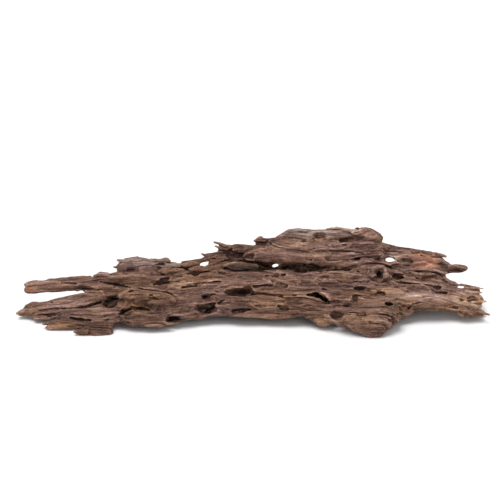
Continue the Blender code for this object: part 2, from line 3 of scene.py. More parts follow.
import bpy
import numpy as np
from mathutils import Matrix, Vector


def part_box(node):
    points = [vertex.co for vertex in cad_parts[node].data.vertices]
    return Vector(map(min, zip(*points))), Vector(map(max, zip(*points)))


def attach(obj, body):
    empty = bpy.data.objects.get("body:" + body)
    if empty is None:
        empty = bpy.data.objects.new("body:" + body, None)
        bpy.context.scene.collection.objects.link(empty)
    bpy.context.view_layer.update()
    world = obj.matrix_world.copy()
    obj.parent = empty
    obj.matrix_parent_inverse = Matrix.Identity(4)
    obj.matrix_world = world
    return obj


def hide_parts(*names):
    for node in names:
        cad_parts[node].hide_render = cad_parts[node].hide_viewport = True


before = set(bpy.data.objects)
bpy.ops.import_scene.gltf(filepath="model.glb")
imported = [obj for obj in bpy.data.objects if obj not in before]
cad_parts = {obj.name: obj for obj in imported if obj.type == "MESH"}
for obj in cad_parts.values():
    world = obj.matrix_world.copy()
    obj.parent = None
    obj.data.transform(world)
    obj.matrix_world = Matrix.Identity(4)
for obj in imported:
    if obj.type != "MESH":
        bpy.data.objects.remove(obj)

import openvdb as vdb
from mathutils import Vector

# The work is done in millimetres on a grid of voxels, and the mesh goes back to metres.
MM = 0.001
VOXEL = 0.7
MARGIN = 8.0
BAND = 8
SEED = 11000
MOST_TRIANGLES = 196000
TINY = 1e-6

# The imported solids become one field: gaps of less than twice GAP_CLOSED close, and rounding the facets
# takes no more than EDGE_KEPT off an edge.
SOLID_BAND = 3
GAP_CLOSED = 0.25
FACET_ROUNDS = 5
EDGE_KEPT = 0.3

# The camera of the photograph: its aim, pitch and distance, and where its axis shows in the picture.
AIM = Vector((-0.0001, 0.0028, 0.03))
PITCH = math.radians(20)
DISTANCE = 2.78
LENS = 200.0
SENSOR = 36.0
FAR_CLIP = 100.0
PICTURE = 500
AXIS_COLUMN = 252.0
AXIS_ROW = 281.8
PIXELS = PICTURE * LENS / SENSOR

RIGHT = np.array((1.0, 0.0, 0.0))
UP = np.array((0.0, math.sin(PITCH), math.cos(PITCH)))
AWAY = np.array((0.0, math.cos(PITCH), -math.sin(PITCH)))
EYE = np.array(AIM) / MM - AWAY * DISTANCE / MM

# Distances from the camera at which a ray looks for wood.
NEAR, FAR, RAY_STEP = 2620.0, 2930.0, 0.4
REACHES = np.arange(NEAR, FAR, RAY_STEP)

# The growth layers dip towards the back, and drift up or down at places along the piece.
GRAIN_PLACES = (-235.0, -170.0, -100.0, 130.0, 180.0, 235.0)
GRAIN_DRIFT = (-10.0, -3.0, 0.0, 0.0, -6.0, -20.0)
GRAIN_DIP = math.radians(34)

# Stacked layers of the relief: weight, least and most thickness, least and most length, seed, softening.
LAYERS = ((0.95, (5.0, 12.0), (25, 80), 5, 8), (0.55, (2.5, 6.0), (12, 45), 6, 5))
FINE_LAYERS = ((0.3, (1.3, 2.8), (8, 36), 11, 2),)
# How a layer's height goes on from one run to the next, and the length of the step between them.
HEIGHT_KEPT, HEIGHT_NEW, STEP_LENGTH = 0.55, 0.8, 2.5
# The table that the layers are drawn in: its step across them and its step along them.
ACROSS_STEP, ALONG_STEP = 0.2, 1.0

# Smooth noise: weight, seed, then its wave along x, y and z. Its lattice has some points to spare.
LATTICE_SPARE = 5
ALONG_CLOUDS = ((4.0, 1, 12, 8, 6),)
BEND_CLOUDS = ((4.0, 2, 110, 45, 36), (2.3, 3, 28, 14, 10), (0.8, 4, 10, 6, 4.5))
SWELL_CLOUDS = ((0.6, 7, 20, 8, 7), (0.5, 20, 11, 5, 4.5))
FINE_CLOUDS = ((0.5, 9, 26, 6, 5), (0.25, 10, 10, 3, 2.5))
FIBRE_CLOUDS = ((0.2, 12, 5, 1.9, 1.9),)
RAGGED_CLOUDS = ((0.7, 40, 4.0, 2.2, 2.2), (0.7, 41, 9.0, 4.5, 4.5))

# The relief's lowest and highest values, and how much of the fine relief thin wood keeps.
RELIEF_LOW, RELIEF_HIGH = -2.8, 2.2
FINE_MOST, FINE_ON_THIN = 1.0, 0.3

# Sturdiness rises from LEAST_STURDY to 1 with the share of wood round a coarse voxel: from THIN, over SPAN.
COARSE, THICK_ROUNDS, STURDY_ROUNDS = 4, 6, 3
THIN, SPAN, LEAST_STURDY = 0.1, 0.35, 0.25
# A calm place reaches this deep, and fades in over this share of its half height.
CALM_DEPTH, CALM_RAMP = 22.0, 0.5

# Marks by chance: number, seed, share kept on the front, size, how many times as long and as deep as wide,
# how far under the surface the middle lies, and how ragged the rim is.
SCALLOPS = (420, 13, 0.75, (1.8, 4.2), (2.5, 6.0), (0.7, 1.1), -0.42, 0.45)
PITS = (340, 8, 0.3, (0.8, 2.1), (1.4, 3.4), (1.1, 2.4), 0.3, 0.5)
# A mark lies within SHELL voxels of the surface and keeps CLEAR_VOXELS from the grid's edge. It swings back
# and up from the grain by chance, and on an end face, across the grain, it is left out.
SHELL, CLEAR_VOXELS, FRONT_FACING = 0.4, 2, -0.35
SWING_BACK, SWING_UP, LEAST_ALONG, SIZE_ON_THIN = 0.12, 0.08, 0.3, 0.15

# Ellipsoids of the drawn marks. Hollows have a shallow rim to one side, and slits a shallow lip. The side
# of a rim is picked by a mix of column and row.
EGG_ROOM = 3
HOLLOW_DEPTH = 0.8
HOLLOW_ROUGH, ROUGH_BY_WIDTH, MOST_ROUGH = 0.3, 0.06, 0.9
SIDE_MIX, RIM_ASIDE, RIM_UP = 7, 0.45, 0.5
RIM_WIDE, RIM_HIGH, RIM_HIGHER, RIM_DEEP, RIM_ROUGH = 1.4, 1.3, 0.9, 1.9, 0.8
SLIT_LONG, SLIT_WIDER, SLIT_ROUGH = 1.8, 0.2, 0.35
LIP_LONG, LIP_WIDER, LIP_DEEP, LIP_ROUGH = 2.4, 1.1, 1.2, 0.5
BORE_REACH, BORE_STEP, BORE_LONG, BORE_ROUGH = 130, 2.0, 4.0, 0.4
RIDGE_LONG, RIDGE_DEEP, RIDGE_ROUGH = 1.6, 1.3, 0.4
TRIM_LONG, TRIM_DEEP, TRIM_ROUGH = 1.6, 40.0, 0.3
SPLINTER_LONG, SPLINTER_WIDER, SPLINTER_ROUGH, SPLINTER_BLEND = 1.4, 0.2, 0.15, 0.5
PLUG_ROUGH = 0.5
BLEND = 1.2
STROKE_STEP = 1.1

# Patches of colour and of painted shade: how deep a spot reaches, where it ends and how wide its soft rim
# is.
PATCH_DEPTH, PATCH_END, PATCH_RIM = 16.0, 1.25, 0.5
TINTS = ("orange", "olive", "tan", "grey", "dark", "light")

# Every place below that starts with two numbers is a column and a row of the photograph.
# Hollows: column, row, half width, half height, depth, tilt up to the right in degrees.
HOLLOWS = (
    (113.7, 298.6, 6.5, 2.6, 6, 0), (111.8, 305.3, 7.5, 2.2, 4.5, 14), (46.7, 314.7, 9, 1.6, 6, 0),
    (52.1, 302.8, 1.4, 1.2, 4, 0), (46.0, 325.4, 2.0, 1.0, 6, 0), (122.0, 312.0, 2.4, 1.4, 5, 30),
    (126.0, 318.0, 2.6, 1.2, 4, -10), (120.0, 320.5, 2.0, 1.0, 4, 10), (163.6, 282.9, 7.6, 2.2, 8, 2),
    (193.4, 272.9, 9, 2.2, 3, 0), (153.6, 298.1, 4.5, 1.6, 4, -15), (210.5, 304.8, 6.5, 3.0, 6, 10),
    (202.5, 309.8, 8.5, 3.0, 6, 20), (204.9, 297.8, 5.5, 2.8, 6, 5), (172.8, 318.5, 10, 3.0, 4.5, 2),
    (230.0, 255.0, 9, 2.6, 3, -20), (244.0, 258.0, 10, 2.2, 3, 4),
    (267.0, 275.9, 3.0, 1.0, 4, 0), (275.0, 277.0, 2.5, 1.1, 4, 0), (283.0, 275.5, 2.0, 0.9, 4, 0),
    (249.0, 281.8, 4.5, 1.2, 4, 0), (279.2, 286.2, 5.6, 1.7, 6, 0), (244.0, 291.5, 9, 3.0, 8, 8),
    (233.0, 294.0, 8, 2.2, 6, 16),
    (284.6, 309.5, 8, 1.9, 4, 0), (324.0, 289.3, 4.4, 1.5, 6, 0), (319.3, 235.8, 6.2, 3.4, 3, 0),
    (326.0, 245.3, 3.0, 1.8, 5, 0), (267.0, 242.6, 8.0, 3.0, 3.5, 0), (345.0, 245.0, 3.5, 0.9, 4, 0),
    (356.8, 246.8, 3.5, 0.9, 4, 0), (346.7, 260.1, 3.0, 1.4, 5, 0), (357.6, 258.9, 4.4, 2.4, 6, 0),
    (380.9, 259.7, 4.0, 1.5, 5, 0), (378.8, 272.2, 2.6, 4.6, 10, 0), (355.8, 280.2, 3.6, 1.4, 5, -20),
    (359.1, 288.5, 6.5, 2.0, 6, 0), (355.6, 299.4, 4.0, 2.8, 6, 0), (345.9, 305.4, 5.0, 1.0, 4, 0),
    (380.4, 293.9, 5.8, 2.8, 7, -12), (388.3, 305.0, 5.8, 3.2, 8, 0), (396.8, 286.8, 3.0, 1.5, 5, 0),
    (337.4, 314.6, 7.6, 6.2, 6, 0), (362.5, 316.0, 5.6, 5.4, 2.2, 0),
    (398.0, 314.0, 3.0, 1.6, 5, 0), (417.8, 272.0, 3.5, 1.0, 4, -10), (400.5, 277.9, 5.5, 1.9, 5, 0),
    (438.7, 288.2, 4.5, 1.6, 5, 0), (461.4, 299.6, 2.5, 2.0, 5, 0), (474.6, 301.0, 4.5, 1.8, 5, -10),
    (454.8, 307.6, 3.0, 2.0, 6, 0), (403.5, 306.0, 3.0, 1.4, 4, 0), (23.4, 287.2, 2.6, 1.0, 12, 0),
)

# Slits: depth, then points of column, row and half height.
SLITS = (
    (4, (52.8, 282.9, 0.5), (62.8, 282.2, 0.8), (75, 283.3, 0.5)),
    (4, (78, 288.5, 0.5), (90, 289, 0.9), (102, 290.4, 0.6)),
    (4, (100.3, 281.8, 0.5), (117, 285, 0.8), (131, 287.4, 0.9), (144.4, 289.7, 0.9),
        (159, 290.9, 1.1), (168, 292.8, 1.0), (175.8, 296.6, 0.7)),
    (6, (40, 310, 0.6), (56, 308.3, 0.8), (70, 308.3, 0.9), (84, 307.6, 1.2), (93, 304.8, 1.6),
        (101, 302.6, 1.6)),
    (5, (71, 317.7, 0.8), (79, 320, 1.0), (89.6, 320.8, 0.8)),
    (5, (183, 287.6, 0.8), (190, 286.8, 1.0), (196, 285.8, 0.7)),
    (5, (193, 284.3, 0.8), (203, 283, 1.1), (212, 282.2, 0.9), (220, 281.6, 0.6)),
    (6, (123, 312.7, 1.0), (133, 307.3, 1.6), (142.9, 308.9, 1.6), (148.3, 310.4, 1.0)),
    (4, (257, 263.3, 1.2), (265, 265, 2.4), (280, 267.5, 3.6), (295, 269, 4.2), (310, 270.5, 4.3),
        (325, 271.5, 3.8), (331, 269.8, 1.8), (340, 270, 1.8), (350, 270.6, 1.3), (358, 271.5, 0.7)),
    (5, (255, 286.2, 0.7), (263.6, 285.4, 1.0), (272.7, 285, 0.8)),
    (5, (252, 294.6, 0.7), (263.6, 293.5, 1.0), (271.2, 295.4, 0.9), (282.7, 296.9, 0.7)),
    (4, (233.7, 310.7, 0.7), (242, 309.9, 0.9), (250.6, 309.5, 0.7)),
    (10, (307.9, 295, 1.2), (315.6, 294.6, 2.8), (320.9, 297.2, 3.4), (326.4, 300.8, 2.8), (329, 302, 1.4)),
    (5, (381.7, 265.9, 0.8), (387.2, 266.3, 1.1), (391, 267.9, 0.8)),
    (2, (370.8, 323.5, 0.4), (379.4, 323.5, 0.6), (387.9, 321.2, 0.4)),
    (5, (396, 282, 0.6), (407.9, 283.1, 0.9), (418.2, 283.8, 0.9), (431.4, 285.6, 0.6)),
    (4, (436.5, 292.2, 0.8), (446, 293, 0.8)),
    (4, (409.3, 307.6, 0.8), (412.3, 304.7, 0.9), (421.1, 302.1, 0.7)),
    (4, (224.5, 268.6, 0.6), (235, 270.9, 0.9), (256.7, 270.9, 0.7)),
    (5, (156, 265.0, 0.7), (163, 264.0, 0.9)),
    (4, (330, 250.5, 0.7), (338.9, 251.0, 0.9), (350.6, 251.0, 0.9), (357, 251.8, 0.6)),
)

# Holes that show the ground behind: column, row, half width, half height, tilt.
BORES = (
    (204.9, 263.4, 6.2, 1.9, 17), (275.6, 265.6, 4.0, 2.3, 10), (389.8, 260.0, 6.4, 3.2, -4),
    (394.4, 260.7, 2.6, 1.1, -8), (460.9, 287.3, 4.2, 2.0, 0),
)

# Raised edges of plates and ridges, and a ring round the knob: points of column, row and radius.
RIDGES = (
    ((119.9, 296.6, 1.4), (130.7, 289.7, 1.8), (144.4, 290.9, 1.6), (157.4, 293.6, 1.5),
     (171.2, 297.4, 1.5), (174.3, 302, 1.2)),
    ((78, 291, 1.0), (90, 291.4, 1.3), (101.8, 291.7, 1.3), (107, 300, 1.0)),
    ((329.6, 245.7, 0.9), (332.7, 249.5, 1.3), (338.9, 248.4, 1.4), (350.6, 248.8, 1.4),
     (360.7, 250, 1.4), (366.1, 254.2, 1.0)),
    ((394.7, 271, 1.0), (404.9, 271.7, 1.4), (416.7, 274.6, 1.4), (437.2, 275, 1.2)),
    ((364.6, 290, 1.0), (373.9, 291.2, 1.3), (377.8, 293.0, 1.0)),
    ((263.6, 279.3, 1.4), (286.5, 281.1, 2.0), (301.8, 281.2, 2.2), (317, 280.7, 2.0), (331, 280, 1.4)),
    tuple(
        (379.4 + 6.8 * math.cos(turn / 14 * math.tau), 274.2 - 7.6 * math.sin(turn / 14 * math.tau), 2.4)
        for turn in range(15)
    ),
)

# Splinters and thin strands: the column and row that give the depth, then points of column, row and radius.
SPLINTERS = (
    ((168, 262.5), (155, 262.2, 1.0), (162, 260.8, 1.5), (168, 259.9, 1.6)),
    ((168, 262.5), (175, 264.8, 1.0), (190.3, 261.8, 1.3), (206.0, 259.4, 1.0)),
    ((230.0, 247.5), (214.6, 242.2, 0.7), (219.0, 243.5, 1.0), (225.5, 246.0, 1.6), (230, 247.5, 1.8)),
    ((230.0, 247.5), (216.0, 246.3, 0.7), (221.0, 248.6, 1.3), (228, 249.0, 1.6)),
    ((225.0, 250.5), (201.8, 253.5, 0.7), (206.4, 256.6, 1.2), (210.0, 257.4, 1.5), (216, 256.0, 1.8)),
    ((225.0, 250.5), (206.6, 254.4, 0.8), (215.6, 253.2, 1.4), (222.0, 252.6, 1.8)),
    ((124.0, 262.0), (118.2, 260.4, 0.8), (123.0, 261.2, 1.4), (128.0, 261.5, 1.5)),
    ((124.0, 269.0), (114.6, 267.1, 0.7), (120.0, 268.0, 1.2), (126.0, 268.6, 1.5)),
    ((436.0, 270.5), (446.6, 273.7, 0.7), (441.6, 272.0, 1.1), (434.0, 270.4, 1.5)),
    ((470.0, 288.5), (483.0, 288.8, 0.7), (474.0, 287.6, 1.5), (466.0, 287.8, 1.7)),
    ((470.0, 292.5), (481.6, 292.4, 0.7), (474.0, 292.4, 1.3), (466.0, 292.0, 1.5)),
    ((476.0, 302.5), (485.8, 301.4, 0.7), (479.0, 302.0, 1.4), (472.0, 302.5, 1.6)),
    ((478.0, 311.5), (488.6, 314.8, 0.7), (482.0, 312.8, 1.3), (474.0, 311.0, 1.6)),
    ((395.0, 316.5), (398.9, 321.2, 0.7), (396.6, 318.8, 1.1), (393.0, 316.0, 1.4)),
    ((112.0, 302.5), (102.0, 305.2, 1.0), (110.0, 303.4, 1.3), (118.0, 301.6, 1.5), (123.0, 301.0, 1.5)),
    ((24.0, 312.0), (17.0, 313.6, 1.3), (20.5, 312.4, 2.2), (28.0, 309.8, 2.8)),
    ((440.0, 258.0), (445.6, 256.6, 1.2), (441.0, 255.4, 2.2), (433.0, 254.6, 2.4)),
    ((285.0, 236.0), (271.5, 239.0, 0.9), (277.0, 238.6, 1.6), (282.0, 236.4, 2.6), (287.0, 232.8, 2.0)),
    ((300.0, 230.8), (284.0, 233.6, 1.2), (290.0, 231.0, 2.2), (298.0, 229.9, 2.2), (306.0, 230.9, 1.3)),
    ((345.0, 231.0), (332.0, 228.8, 0.9), (336.0, 227.9, 1.6), (340.0, 228.8, 1.3), (350.0, 230.0, 1.4),
     (356.0, 230.6, 1.0)),
    ((436.0, 262.0), (443.2, 261.2, 1.4), (439.0, 261.0, 2.4), (433.0, 261.0, 3.0)),
    ((452.0, 269.0), (449.0, 267.9, 2.4), (456.0, 267.3, 2.8), (462.0, 267.3, 2.6), (466.6, 268.2, 1.8)),
    ((452.0, 285.0), (444.0, 277.6, 1.6), (449.0, 282.2, 2.4), (455.0, 283.6, 2.2), (461.0, 284.4, 1.1),
     (470.0, 286.2, 1.5), (479.0, 287.8, 1.3)),
    ((50.0, 283.0), (27.0, 283.7, 2.0), (34.0, 283.2, 2.1), (48.0, 282.7, 1.6), (60.0, 282.6, 1.0)),
    ((50.0, 290.4), (26.6, 291.0, 1.9), (40.0, 290.4, 2.0), (58.0, 289.5, 1.8), (76.0, 289.0, 0.8)),
    ((86.0, 332.0), (74.4, 331.4, 1.5), (80.0, 331.6, 2.4), (88.0, 331.8, 2.6)),
    ((100.0, 279.0), (94.0, 275.8, 1.2), (100.0, 274.4, 1.8), (108.0, 274.6, 1.8)),
    ((113.0, 297.0), (108.0, 306.4, 1.2), (113.4, 305.8, 2.0), (119.0, 305.0, 1.2)),
    ((367.0, 249.5), (360.0, 253.4, 1.2), (364.6, 253.2, 1.8), (370.0, 253.0, 1.2)),
)

# Wood taken off the outline: the column and row that give the depth, then points of column, row and half
# height.
TRIMS = (
    ((320.0, 236.0), (302.0, 225.0, 1.4), (312.0, 226.4, 2.8), (324.0, 225.8, 2.8), (331.0, 224.4, 1.4)),
    ((360.0, 234.0), (357.0, 225.6, 1.0), (360.5, 226.0, 1.8), (364.0, 224.6, 1.4)),
    ((257.0, 246.0), (252.6, 238.8, 1.8), (256.0, 236.4, 1.6), (259.5, 235.4, 1.0)),
    ((153.0, 266.0), (138.0, 254.6, 1.6), (148.0, 256.6, 3.0), (158.0, 256.8, 3.0), (166.0, 255.6, 1.8)),
    ((178.0, 268.0), (168.0, 257.6, 1.6), (178.0, 259.8, 2.4), (188.5, 259.4, 1.8)),
    ((276.0, 242.0), (269.5, 235.4, 1.6), (274.0, 234.8, 2.6), (278.5, 233.0, 1.6)),
    ((88.0, 282.0), (83.0, 273.2, 1.0), (88.0, 273.0, 1.4), (93.0, 272.2, 1.0)),
    ((412.0, 254.0), (397.0, 244.6, 1.4), (406.0, 246.2, 1.6), (412.0, 247.0, 2.2), (421.0, 248.2, 2.0),
     (431.0, 249.8, 1.6)),
)

# Places that are worn smooth: column, row, half width, half height, and how much of the relief goes.
CALM = (
    (357, 320, 27, 16, 0.85), (405, 258, 26, 9, 0.7), (241, 267, 18, 5, 0.85), (45, 286, 34, 8, 0.75),
    (322, 256, 34, 7, 0.6), (140, 300, 28, 10, 0.45), (274, 304, 26, 7, 0.6), (85, 286, 30, 7, 0.5),
    (55, 302, 34, 8, 0.5), (379, 274, 12, 12, 0.85), (300, 232, 34, 6, 0.4), (236, 256, 20, 8, 0.6),
    (470, 306, 16, 8, 0.5), (310, 280, 40, 6, 0.4), (76, 331, 24, 5, 0.6), (445, 268, 20, 5, 0.6),
)

# Wood put back where the solid is too thin or too deep: the place that gives its depth, how much farther
# back it lies, then column, row, half width, half height, half depth and tilt.
PLUGS = (
    ((160, 275), 1.0, 169.0, 271.5, 11.0, 3.6, 5.0, 0),
    ((190, 273), 1.0, 199.0, 269.4, 12.0, 3.0, 5.0, 0),
    ((160, 268), 1.5, 172.0, 266.8, 14.0, 3.6, 5.0, 0),
    ((240, 247.5), 6.5, 238.0, 255.5, 25.0, 8.5, 6.0, 0),
    ((241, 268), 0.6, 241.0, 266.8, 17.5, 4.5, 3.6, 0),
    ((366, 240), 8.0, 369.5, 237.6, 13.5, 8.8, 9.0, -15),
    ((300, 236), 7.0, 297.0, 235.0, 14.0, 5.6, 8.0, 0),
    ((190, 268), 14.0, 190.5, 264.6, 9.5, 2.8, 7.0, 2),
)

# Patches of colour, the dark ones mostly painted shade: tint, column, row, half width, half height, tilt
# and strength.
PATCHES = (
    ("orange", 425.0, 258.5, 15.0, 7.5, -20, 1.0), ("orange", 424.0, 266.0, 13.0, 4.0, 0, 0.6),
    ("orange", 30.0, 288.0, 6.0, 4.0, 0, 0.6),
    ("orange", 319.3, 235.6, 7.0, 4.0, 0, 0.5), ("orange", 403.5, 306.0, 6.0, 3.0, 0, 0.5),
    ("olive", 241.0, 267.0, 17.0, 4.2, 0, 1.0), ("tan", 272.0, 305.0, 24.0, 5.0, 0, 0.8),
    ("tan", 357.0, 320.0, 24.0, 12.0, 0, 0.7), ("tan", 214.0, 297.3, 6.0, 2.0, 0, 0.7),
    ("dark", 238.0, 255.5, 24.0, 6.5, 4, 0.6), ("light", 302.0, 268.5, 36.0, 5.0, -3, 0.8),
    ("dark", 205.6, 308.0, 14.0, 6.0, 16, 0.7), ("dark", 173.0, 318.6, 12.0, 4.5, 2, 1.1),
    ("dark", 124.0, 315.0, 7.0, 8.0, 0, 0.7), ("dark", 240.0, 292.0, 18.0, 5.0, 12, 0.15),
    ("dark", 268.0, 241.6, 11.0, 4.0, 0, 0.9), ("dark", 112.0, 301.0, 10.0, 6.5, 0, 0.8),
    ("dark", 148.0, 299.0, 24.0, 8.0, 0, 0.3),
    ("dark", 60.0, 314.5, 24.0, 2.6, 0, 0.5), ("dark", 320.0, 298.0, 12.0, 5.0, -28, 1.0),
    ("dark", 140.0, 320.0, 26.0, 6.0, 0, 0.6), ("dark", 206.0, 299.0, 16.0, 6.0, 0, 0.6),
    ("dark", 90.0, 329.0, 28.0, 5.0, 0, 0.5), ("dark", 240.0, 268.0, 18.0, 4.0, 0, 0.8),
    ("dark", 270.0, 305.0, 60.0, 9.0, 0, 0.35), ("dark", 355.0, 292.0, 30.0, 6.0, 0, 0.35),
    ("dark", 380.0, 274.0, 14.0, 10.0, 0, 0.7),
    ("grey", 310.0, 232.0, 40.0, 6.0, 0, 1.0), ("grey", 150.0, 263.0, 34.0, 5.0, 0, 0.6),
    ("light", 422.0, 294.0, 38.0, 10.5, -4, 0.95), ("light", 400.0, 256.0, 22.0, 8.0, 0, 0.65),
    ("light", 468.0, 302.0, 24.0, 16.0, 0, 1.45), ("light", 195.0, 278.0, 32.0, 4.0, 0, 0.12),
    ("light", 364.0, 323.0, 28.0, 9.0, 0, 0.35), ("light", 320.0, 250.0, 40.0, 10.0, 0, 0.6),
    ("light", 340.0, 232.0, 34.0, 5.0, 0, 0.65), ("light", 58.0, 301.0, 36.0, 6.0, -6, 0.4),
    ("light", 425.0, 260.0, 16.0, 9.0, -20, 0.8), ("light", 290.0, 281.0, 46.0, 3.0, 0, 0.1),
    ("light", 58.0, 286.0, 44.0, 7.0, 2, 0.3),
)

# Tones from the painted shade in hollows to a bleached edge with a painted highlight, and their place on
# the ramp.
COOL_TONES = (
    (0.00, (22, 14, 13)), (0.16, (50, 33, 29)), (0.32, (84, 60, 52)), (0.48, (116, 86, 76)),
    (0.64, (144, 113, 102)), (0.80, (174, 147, 136)), (1.00, (214, 197, 190)),
)
WARM_TONES = (
    (0.00, (24, 15, 12)), (0.16, (56, 36, 27)), (0.32, (95, 66, 49)), (0.48, (131, 97, 73)),
    (0.64, (160, 124, 95)), (0.80, (188, 155, 124)), (1.00, (222, 200, 176)),
)
# Other colours laid over the tones: the tint, how much of it at most, and the colour.
TINT_PAINTS = (
    ("orange", 0.85, (180, 120, 88)), ("olive", 0.85, (82, 66, 55)), ("grey", 0.55, (166, 150, 146)),
)

# Noises of the material: what each is laid along, its scale along each axis, detail, roughness and warp.
NOISES = {
    "bands": ("grain", (0.012, 0.22, 0.05), 3.0, 0.6, 0.3),
    "streaks": ("grain", (0.028, 0.75, 0.35), 4.0, 0.7, 0.3),
    "fibres": ("place", (60.0, 620.0, 620.0), 4.0, 0.7, 0.2),
    "stains": ("place", (26.0, 60.0, 70.0), 4.0, 0.6, 0.5),
    "warmth": ("place", (14.0, 45.0, 45.0), 4.0, 0.6, 0.6),
    "specks": ("place", (500.0, 800.0, 800.0), 2.0, 0.6, 0.0),
}
# The tone starts at a middle value, and each of these adds to it by its weight.
MIDDLE_TONE, MIDDLE_NOISE = 0.375, 0.5
NOISE_TONES = (("bands", 0.6), ("streaks", 0.7), ("fibres", 0.7), ("stains", 0.6), ("specks", 0.5))
# Numbers of the shape: the range that is read, the range that it becomes, and the weight.
# Edge: bleaching with a painted highlight. Top: painted highlight. Hollow, shelter: painted light in
# recesses.
SHAPE_TONES = (
    ("edge", (-0.20, 0.20, -1.0, 1.0), 0.24), ("hollow", (0.03, 0.28, 0.0, 1.0), 0.03),
    ("shelter", (0.0, 0.35, 0.0, 1.0), 0.02), ("top", (-0.3, 1.0, 0.0, 1.0), 0.04),
)
# Dark patches are mostly painted shade in hollows and under overhangs, with darker wood on the lens plate.
PATCH_TONES = (("dark", -0.22), ("light", 0.22))
# Ranges read and given: warmth of the wood, tints by tone, tints by wear, and roughness by streaks.
WARM_RANGE = (0.40, 0.66, 0.0, 1.0)
TINT_BY_TONE = (0.2, 0.75, 0.35, 1.35)
TINT_BY_WEAR = (0.34, 0.62, 0.35, 1.0)
ROUGH_RANGE = (0.2, 0.8, 0.92, 0.68)
SPECULAR = 0.25
FIBRE_BUMP, SPECK_BUMP, BUMP_STRENGTH, BUMP_DISTANCE = 0.9, 0.35, 0.9, 0.0016

# Vertex numbers: how far the wood's share is blurred, in rounds, and on every how many voxels.
NEAR_ROUNDS = 3
MIDDLE_EVERY, MIDDLE_ROUNDS = 2, 5
WIDE_EVERY, WIDE_ROUNDS = 4, 8
# The slope of the widest blur becomes about 1 on a top. Across the grain, y and z count half each.
TOP_SCALE = 5
ACROSS_SHARE = 0.5

# The studio. Lights: name, kind, place, side of the square or angle of the sun, power and colour.
FLOOR_HALF = 30.0
FLOOR_COLOUR = (0.86, 0.86, 0.87, 1)
FLOOR_ROUGHNESS = 0.9
WORLD_COLOUR, WORLD_STRENGTH = (1, 1, 1, 1), 0.65
LIGHTS = (
    ("key", "SUN", (-0.35, -0.45, 1.6), math.radians(41), 2.3, (1.0, 0.99, 0.98)),
    ("fill", "AREA", (0.6, -1.9, 0.9), 1.2, 9.0, (0.97, 0.98, 1.0)),
)


def spread(low, high):
    """Grid origin and number of voxels that hold a box with the margin round it."""
    start = np.array(low) - MARGIN
    count = np.ceil((np.array(high) + MARGIN - start) / VOXEL).astype(int) + 1
    return start, count


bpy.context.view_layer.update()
CORNERS = np.array([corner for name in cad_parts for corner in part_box(name)]) / MM
ORIGIN, SHAPE = spread(CORNERS.min(axis=0), CORNERS.max(axis=0))
X, Y, Z = (
    (ORIGIN[axis] + np.arange(SHAPE[axis]) * VOXEL).astype(np.float32) for axis in range(3)
)


def solids_as_polygons():
    """Points in millimetres and triangles of all the nodes together."""
    points, triangles, first = [], [], 0
    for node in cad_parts.values():
        mesh = node.data
        mesh.calc_loop_triangles()
        corners = np.empty(len(mesh.vertices) * 3, np.float32)
        mesh.vertices.foreach_get("co", corners)
        indices = np.empty(len(mesh.loop_triangles) * 3, np.int32)
        mesh.loop_triangles.foreach_get("vertices", indices)
        points.append(corners.reshape(-1, 3) / MM)
        triangles.append(indices.reshape(-1, 3) + first)
        first += len(mesh.vertices)
    return np.concatenate(points).astype(np.float32), np.concatenate(triangles).astype(np.uint32)


def level_set(points, half_width, triangles=None, quads=None):
    """Signed distance in millimetres, negative inside, on the whole grid, and its sparse form."""
    transform = vdb.createLinearTransform(voxelSize=VOXEL)
    shift = (points - ORIGIN).astype(np.float32)
    grid = vdb.FloatGrid.createLevelSetFromPolygons(
        shift, triangles=triangles, quads=quads, transform=transform, halfWidth=half_width
    )
    field = np.empty(tuple(SHAPE), np.float32)
    grid.copyToArray(field)
    return field, grid


def base_solid():
    """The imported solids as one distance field, with the gaps closed and the facets rounded."""
    points, triangles = solids_as_polygons()
    _, grid = level_set(points, SOLID_BAND, triangles=triangles)
    points, quads = grid.convertToQuads(isovalue=GAP_CLOSED)
    field, _ = level_set(points + ORIGIN, BAND, quads=quads)
    field += GAP_CLOSED
    return np.minimum(blurred(field, FACET_ROUNDS), field + EDGE_KEPT)


def blurred(field, rounds):
    """A field smoothed by repeated 1-2-1 averages along each axis."""
    for _ in range(rounds):
        for axis in range(3):
            ahead = np.roll(field, -1, axis)
            behind = np.roll(field, 1, axis)
            field = 0.5 * field + 0.25 * (ahead + behind)
    return field


def draws(seed):
    """Random numbers that are the same in every run."""
    return np.random.default_rng(SEED + seed)


def filled(field):
    """The share of each voxel that is wood."""
    return np.clip(0.5 - field / VOXEL, 0, 1)


def drawn_out(lattice, values, wave, axis):
    """A lattice of numbers read by cubic B-spline at the given values along one axis."""
    place = (values - values[0]) / wave + 1
    cell = np.floor(place).astype(int)
    t = (place - cell).astype(np.float32)
    parts = (
        (1 - t) ** 3 / 6, (3 * t ** 3 - 6 * t ** 2 + 4) / 6,
        (-3 * t ** 3 + 3 * t ** 2 + 3 * t + 1) / 6, t ** 3 / 6,
    )
    one_axis = [-1 if other == axis else 1 for other in range(3)]
    result = 0.0
    for step, part in enumerate(parts):
        result = result + part.reshape(one_axis) * lattice.take(cell + step - 1, axis)
    return result


def cloud(seed, *waves):
    """Smooth noise over the whole grid with its own wave along each axis, of unit spread."""
    random = draws(seed)
    sizes = [int((SHAPE[axis] - 1) * VOXEL / waves[axis]) + LATTICE_SPARE for axis in range(3)]
    noise = random.standard_normal(sizes).astype(np.float32)
    for axis in (2, 1, 0):
        noise = drawn_out(noise, (X, Y, Z)[axis], waves[axis], axis)
    return noise / noise.std()


def clouds(rows, total=0.0):
    """Weighted noises added up, on top of a first value."""
    for weight, *row in rows:
        total = total + weight * cloud(*row)
    return total


